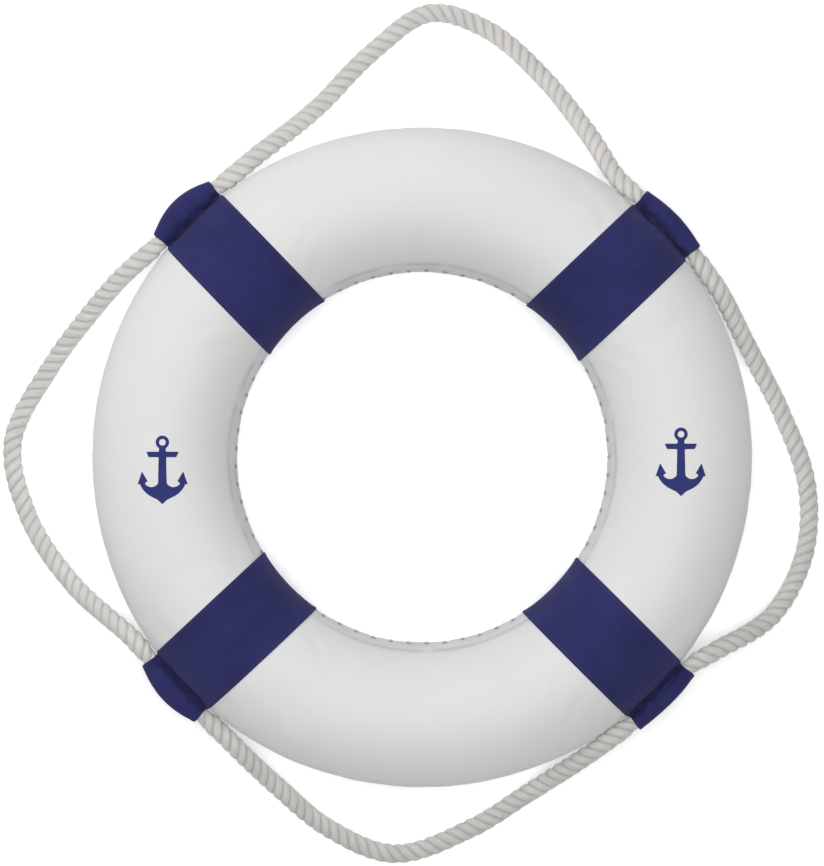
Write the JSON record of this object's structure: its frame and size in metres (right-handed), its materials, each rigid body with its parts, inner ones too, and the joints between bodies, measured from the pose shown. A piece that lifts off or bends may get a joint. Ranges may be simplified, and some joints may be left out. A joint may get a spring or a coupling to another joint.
{
  "type": "ring lifebuoy",
  "caption": "Ring lifebuoy: a foam ring in a sewn white cover with navy bands that hold a grab rope in slack loops, and printed anchors.",
  "frame": {"origin": "on the ring's axis, at the level of the surface that it lies on", "axes": "+Z is the ring's axis, out of the front face; +Y is the top of the front face, towards the upper loop of rope; +X is to the right of the front face"},
  "size_m": [0.6285, 0.6626, 0.1103],
  "materials": {
    "foam": "closed-cell foam, matt",
    "cover": "smooth matt white cloth",
    "seam_thread": "twisted sewing thread",
    "band": "matt navy cloth",
    "band_thread": "twisted navy sewing thread",
    "rope": "laid undyed cotton rope",
    "tape": "cloth tape",
    "anchor_print": "thin matt navy print"
  },
  "bodies": {
    "root": {"core_front_half": "foam", "core_rear_half": "foam", "cover_front_panel": "cover", "cover_rear_panel": "cover", "inner_seam_thread": "seam_thread", "outer_seam_thread": "seam_thread", "band_ne": "band", "needle_thread_ne": "band_thread", "bobbin_thread_ne": "band_thread", "band_nw": "band", "needle_thread_nw": "band_thread", "bobbin_thread_nw": "band_thread", "band_sw": "band", "needle_thread_sw": "band_thread", "bobbin_thread_sw": "band_thread", "band_se": "band", "needle_thread_se": "band_thread", "bobbin_thread_se": "band_thread", "grab_rope": "rope", "rope_joint_tape": "tape", "anchor_print_left": "anchor_print", "anchor_print_right": "anchor_print"}
  },
  "joints": []
}
